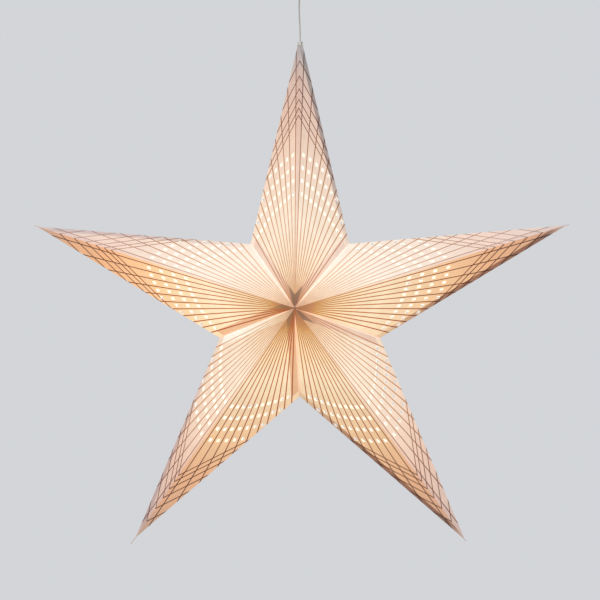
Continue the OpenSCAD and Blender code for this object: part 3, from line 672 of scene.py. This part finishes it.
@dataclass
class HangingCord:
    """Thin two-core cord: free from the grip to the lampholder, and its tail inside the cup."""

    diameter: float = 0.0016
    bevel_steps: int = 3
    smooth_below: float = 40.0
    grip_z: float = -0.044
    clearance: float = 0.0003
    foot_z: float = -0.3628
    mouth_z: float = -0.0464
    length: float = 0.3185
    # Route of the free cord, as (across, below the grip), in millimetres: a slight bow, then plumb
    bow_mm: tuple = ((0, 0), (0, 4), (-0.2, 9), (-0.6, 15), (-1, 21), (-1.2, 27), (-1.3, 33), (-1.1, 40),
                     (-0.8, 47), (-0.4, 54), (-0.1, 61), (0, 68), (0, 230))
    # The tail rises out of the grip, bends level, runs aside, and turns back into the driver's end
    tail_rise: float = 0.006
    tail_run_z: float = -0.0217
    tail_run_x: tuple = (0.014, 0.026)
    tail_bend: float = 0.0024
    tail_turn: float = 0.0059
    tail_turn_x: float = 0.037
    tail_end_x: float = 0.034
    arc_step: float = 22.5

    def free_route(self) -> list[tuple[float, float, float]]:
        """Points of the free cord from the grip down to the lampholder, in metres."""
        start = self.grip_z - self.clearance
        route = [(x * MM, 0.0, start - depth * MM) for x, depth in self.bow_mm]
        return route + [(0.0, 0.0, self.foot_z)]

    def tail_route(self) -> list[tuple[float, float, float]]:
        """Points of the tail from the grip round into the driver's end, in metres."""
        bend, turn, run = self.tail_bend, self.tail_turn, self.tail_run_z
        route = [(0.0, self.grip_z + self.clearance), (0.0, self.grip_z + self.tail_rise)]
        for step in range(5):
            a = math.radians(self.arc_step * step)
            route.append((bend - bend * math.cos(a), run - bend + bend * math.sin(a)))
        route += [(x, run) for x in self.tail_run_x]
        for step in range(-4, 5):
            a = math.radians(self.arc_step * step)
            route.append((self.tail_turn_x + turn * math.cos(a), run + turn * (1 + math.sin(a))))
        route.append((self.tail_end_x, run + 2 * turn))
        return [(x, 0.0, z) for x, z in route]

    def lay(self, name: str, route: list[tuple[float, float, float]]) -> bpy.types.Object:
        """Make a round cord along a route.

        Args:
            name: name of the piece.
            route: points of its centreline.

        Returns:
            A round tube with closed ends, as a mesh.
        """
        curve = bpy.data.curves.new(name, "CURVE")
        curve.dimensions = "3D"
        curve.bevel_depth = self.diameter / 2
        curve.bevel_resolution = self.bevel_steps
        curve.use_fill_caps = True
        spline = curve.splines.new("POLY")
        spline.points.add(len(route) - 1)
        for point, place in zip(spline.points, route):
            point.co = (*place, 1.0)
        spline.use_smooth = True
        cord = bpy.data.objects.new(name, curve)
        bpy.context.scene.collection.objects.link(cord)
        select_only(cord)
        bpy.ops.object.convert(target="MESH")
        bpy.ops.object.shade_smooth_by_angle(angle=math.radians(self.smooth_below))
        return bpy.context.active_object

    def build(self) -> None:
        route = self.free_route()
        cord = self.lay("hanging_cord", route)
        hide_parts("cord")
        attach(cord, Body.PENDANT.value)
        tail = self.lay("cord_end_in_cup", self.tail_route())
        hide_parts("cord_tail")
        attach(tail, Body.CEILING.value)
        for piece in (cord, tail):
            paint(piece, SHEATH.make())


@dataclass
class ScrewThreads:
    """Rolled thread of the lamp's cap and the brass sleeve that it turns in, in step with each other."""

    pitch: float = 0.00282
    depth: float = 0.0007
    cap_radius: float = 0.0069
    neck_z: float = -0.3903
    shoulder_z: float = -0.3752
    play: float = 0.0002
    strip: float = 0.0003
    sleeve_foot_z: float = -0.3893
    sleeve_top_z: float = -0.3668
    # Shoulder and black glass of the cap, as (radius, height above the shoulder), and where the glass begins
    end_mm: tuple = ((6.1, -0.4), (6.1, 0.2), (5.9, 0.5), (5.4, 0.9), (5.2, 1.0), (4.3, 2.0), (3.4, 3.6), (0, 3.6))
    glass_mm: float = 0.9
    wave_points: int = 10
    turn_points: int = 40
    weld: float = 1e-6
    smooth_below: float = 50.0

    def start_profile(self, x: float, z: float, name: str) -> bpy.types.Object:
        """Start a piece as one vertex, in edit mode.

        Args:
            x: distance from the lamp's axis.
            z: height.
            name: name of the piece.

        Returns:
            The new object, with its vertex selected.
        """
        bpy.ops.object.select_all(action="DESELECT")
        bpy.ops.mesh.primitive_plane_add(size=MM)
        piece = bpy.context.active_object
        piece.name = name
        bpy.ops.object.mode_set(mode="EDIT")
        bpy.ops.mesh.select_all(action="SELECT")
        bpy.ops.mesh.merge(type="CENTER")
        bpy.ops.transform.translate(value=(x, 0, z))
        return piece

    def weld_and_orient(self) -> None:
        """Join the vertices that meet in the mesh being edited, and turn its faces one way."""
        bpy.ops.mesh.select_all(action="SELECT")
        bpy.ops.mesh.remove_doubles(threshold=self.weld)
        bpy.ops.mesh.normals_make_consistent(inside=False)

    def wind(self, name: str, middle: float, foot: float, top: float, wall: float = 0.0) -> bpy.types.Object:
        """Wind one wave of a rounded thread into a helix, and cut it level at both ends.

        Args:
            name: name of the piece.
            middle: radius at the middle of the wave.
            foot: height of the lower cut.
            top: height of the upper cut.
            wall: thickness of the strip outside the wave, or 0 for a solid thread.

        Returns:
            The thread, in object mode.
        """
        # Both threads start at the same height, which keeps them in step
        start = self.neck_z - 2 * self.pitch
        piece = self.start_profile(middle + self.depth / 2, start, name)
        last = self.depth / 2
        for step in range(1, self.wave_points + 1):
            reach = self.depth / 2 * math.cos(2 * math.pi * step / self.wave_points)
            bpy.ops.mesh.extrude_vertices_move(TRANSFORM_OT_translate={
                "value": (reach - last, 0, self.pitch / self.wave_points)})
            last = reach
        bpy.ops.object.mode_set(mode="OBJECT")
        bpy.ops.object.modifier_add(type="SCREW")
        turns = piece.modifiers[-1]
        turns.axis, turns.angle, turns.screw_offset = "Z", 2 * math.pi, self.pitch
        turns.iterations = math.ceil((top - start) / self.pitch) + 1
        turns.steps = turns.render_steps = self.turn_points
        bpy.ops.object.modifier_apply(modifier=turns.name)
        bpy.ops.object.mode_set(mode="EDIT")
        self.weld_and_orient()
        bpy.ops.object.mode_set(mode="OBJECT")
        face = piece.data.polygons[0]
        if face.normal.x * face.center.x + face.normal.y * face.center.y < 0:
            bpy.ops.object.mode_set(mode="EDIT")
            bpy.ops.mesh.flip_normals()
            bpy.ops.object.mode_set(mode="OBJECT")
        if wall:
            bpy.ops.object.modifier_add(type="SOLIDIFY")
            strip = piece.modifiers[-1]
            strip.thickness, strip.offset = wall, 1.0
            bpy.ops.object.modifier_apply(modifier=strip.name)
        bpy.ops.object.mode_set(mode="EDIT")
        for height, way in ((foot, 1), (top, -1)):
            bpy.ops.mesh.select_all(action="SELECT")
            bpy.ops.mesh.bisect(plane_co=(0, 0, height), plane_no=(0, 0, way), use_fill=True, clear_inner=True,
                                threshold=self.weld)
        bpy.ops.object.mode_set(mode="OBJECT")
        return piece

    def turn_end(self) -> bpy.types.Object:
        """Turn the cap's rounded shoulder and the black glass that holds its contact, as one profile."""
        x, z = 0.0, self.shoulder_z + self.end_mm[0][1] * MM
        piece = self.start_profile(x, z, "lamp_cap_end")
        for radius, height in self.end_mm:
            new_x, new_z = radius * MM, self.shoulder_z + height * MM
            bpy.ops.mesh.extrude_vertices_move(TRANSFORM_OT_translate={"value": (new_x - x, 0, new_z - z)})
            x, z = new_x, new_z
        bpy.ops.mesh.select_all(action="SELECT")
        bpy.ops.mesh.spin(steps=self.turn_points, angle=2 * math.pi, center=(0, 0, 0), axis=(0, 0, 1))
        self.weld_and_orient()
        bpy.ops.object.mode_set(mode="OBJECT")
        return piece

    def build_cap(self) -> None:
        """Model the lamp's cap as one solid of metal and glass, and stand it for its CAD solid."""
        cap = self.wind("rolled_lamp_cap", self.cap_radius - self.depth / 2, self.neck_z, self.shoulder_z)
        end = self.turn_end()
        glass = VITRITE.make()
        for piece in (cap, end):
            paint(piece, NICKEL.make())
            piece.data.materials.append(glass)
        for face in end.data.polygons:
            if face.center.z > self.shoulder_z + self.glass_mm * MM:
                face.material_index = 1
        select_only(cap)
        bpy.ops.object.modifier_add(type="BOOLEAN")
        union = cap.modifiers[-1]
        union.operation, union.object, union.solver = "UNION", end, "EXACT"
        bpy.ops.object.modifier_apply(modifier=union.name)
        bpy.data.objects.remove(end)
        bpy.ops.object.shade_smooth_by_angle(angle=math.radians(self.smooth_below))
        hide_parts("bulb_cap")
        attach(cap, Body.LAMP.value)

    def build_sleeve(self) -> None:
        """Model the sleeve, which follows the cap's thread at a small distance, and stand it for its solid."""
        sleeve = self.wind("threaded_sleeve", self.cap_radius - self.depth / 2 + self.play, self.sleeve_foot_z,
                           self.sleeve_top_z, self.strip)
        paint(sleeve, BRASS.make())
        select_only(sleeve)
        bpy.ops.object.shade_smooth_by_angle(angle=math.radians(self.smooth_below))
        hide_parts("screw_shell")
        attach(sleeve, Body.PENDANT.value)


@dataclass
class Fittings:
    """Ceiling fitting, lampholder, lamp and stop: CAD pieces that take their real finishes."""

    finishes: tuple = (
        (WHITE_PLASTIC, ("tip_collar", "cord_stop", "cord_grip", "holder_cap", "holder_body", "bulb_housing",
                         "driver_case", "terminal_block")),
        (POWDER_COAT, ("ceiling_cup",)),
        (ZINC, ("ceiling_bracket", "cup_screws", "grip_nut", "grip_screw", "holder_screw", "stop_screw")),
        (LEAD, ("driver_leads",)),
        (NYLON, ("grip_ball",)),
        (STEATITE, ("holder_insert",)),
        (BRASS, ("centre_spring", "terminal_screws")),
        (NICKEL, ("bulb_contact",)),
        (RESIST, ("led_board",)),
        (OPAL, ("bulb_globe",)),
    )

    def dress(self, nodes: dict) -> None:
        """Give every fitting its finish.

        Args:
            nodes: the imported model's objects by name.
        """
        for finish, names in self.finishes:
            for name in names:
                paint(nodes[name], finish.make())


@dataclass
class Studio:
    """Camera at the photograph's angle, plain soft light, a pale background and a finite pale floor."""

    star: StarShape = StarShape()
    azimuth: float = 3.0
    elevation: float = -2.5
    roll: float = 0.1
    distance: float = 2.257
    raise_mm: float = 13.4
    aside_mm: float = 0.25
    lens_mm: float = 120.0
    sensor_mm: float = 36.0
    backdrop: str = "#D3D5D9"
    floor_z: float = -1.15
    floor_side: float = 3.0
    ambient: float = 0.446
    ambient_colour: tuple = (0.96, 0.98, 1.0, 1)
    key_power: float = 45.9
    key_colour: tuple = (0.97, 0.98, 1.0)
    key_side: float = 2.2
    key_place: tuple = (0.25, -0.9, 1.7)

    def place_camera(self) -> None:
        """Set the camera on the photograph's line of sight, moved up in its own plane."""
        az, el = math.radians(self.azimuth), math.radians(self.elevation)
        centre = Vector((0.0, 0.0, self.star.centre_z))
        away = Vector((math.sin(az) * math.cos(el), -math.cos(az) * math.cos(el), math.sin(el)))
        turn = away.to_track_quat("Z", "Y") @ Quaternion((0, 0, 1), math.radians(self.roll))
        data = bpy.data.cameras.new("camera")
        data.lens, data.sensor_width = self.lens_mm, self.sensor_mm
        camera = bpy.data.objects.new("camera", data)
        camera.location = centre + away * self.distance + turn @ Vector((self.aside_mm * MM, self.raise_mm * MM, 0))
        camera.rotation_euler = turn.to_euler()
        bpy.context.scene.collection.objects.link(camera)
        bpy.context.scene.camera = camera

    def light_world(self) -> None:
        """Light the object evenly, and show the eye, a reflection and a see-through piece the pale backdrop."""
        world = bpy.data.worlds.new("studio")
        bpy.context.scene.world = world
        world.use_nodes = True
        tree = world.node_tree
        tree.nodes.clear()
        rays = add_node(tree, "ShaderNodeLightPath", {})
        glossy = add_node(tree, "ShaderNodeMath", {0: rays.outputs["Is Camera Ray"], 1: rays.outputs["Is Glossy Ray"]},
                          operation="ADD", use_clamp=True)
        seen = add_node(tree, "ShaderNodeMath", {0: glossy.outputs[0], 1: rays.outputs["Is Transmission Ray"]},
                        operation="ADD", use_clamp=True)
        dim = add_node(tree, "ShaderNodeBackground", {"Color": self.ambient_colour, "Strength": self.ambient})
        pale = add_node(tree, "ShaderNodeBackground", {"Color": linear(self.backdrop), "Strength": 1.0})
        mix = add_node(tree, "ShaderNodeMixShader", {0: seen.outputs[0], 1: dim.outputs[0], 2: pale.outputs[0]})
        add_node(tree, "ShaderNodeOutputWorld", {"Surface": mix.outputs[0]})

    def hang_key(self) -> None:
        """Hang one large soft lamp above the front, aimed at the star's centre."""
        lamp = bpy.data.lights.new("key", "AREA")
        lamp.energy, lamp.size, lamp.color = self.key_power, self.key_side, self.key_colour
        key = bpy.data.objects.new("key", lamp)
        key.location = self.key_place
        aim = Vector((0.0, 0.0, self.star.centre_z)) - key.location
        key.rotation_euler = aim.to_track_quat("-Z", "Y").to_euler()
        bpy.context.scene.collection.objects.link(key)

    def lay_floor(self) -> None:
        """Lay a plain pale floor well below the star."""
        bpy.ops.object.select_all(action="DESELECT")
        bpy.ops.mesh.primitive_plane_add(size=self.floor_side, location=(0, 0, self.floor_z))
        floor = bpy.context.active_object
        floor.name = "studio_floor"
        paint(floor, FLOOR_PAINT.make())


def main() -> None:
    """Load the frame, set the camera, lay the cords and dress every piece."""
    logging.basicConfig(level=logging.INFO, format="%(name)s: %(message)s")
    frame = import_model()
    bpy.context.scene.view_settings.view_transform = "Standard"
    studio = Studio()
    studio.place_camera()
    HangingCord().build()
    threads = ScrewThreads()
    threads.build_cap()
    threads.build_sleeve()
    Star().dress(frame["nodes"])
    Fittings().dress(frame["nodes"])
    studio.light_world()
    studio.hang_key()
    studio.lay_floor()


if __name__ == "__main__":
    main()
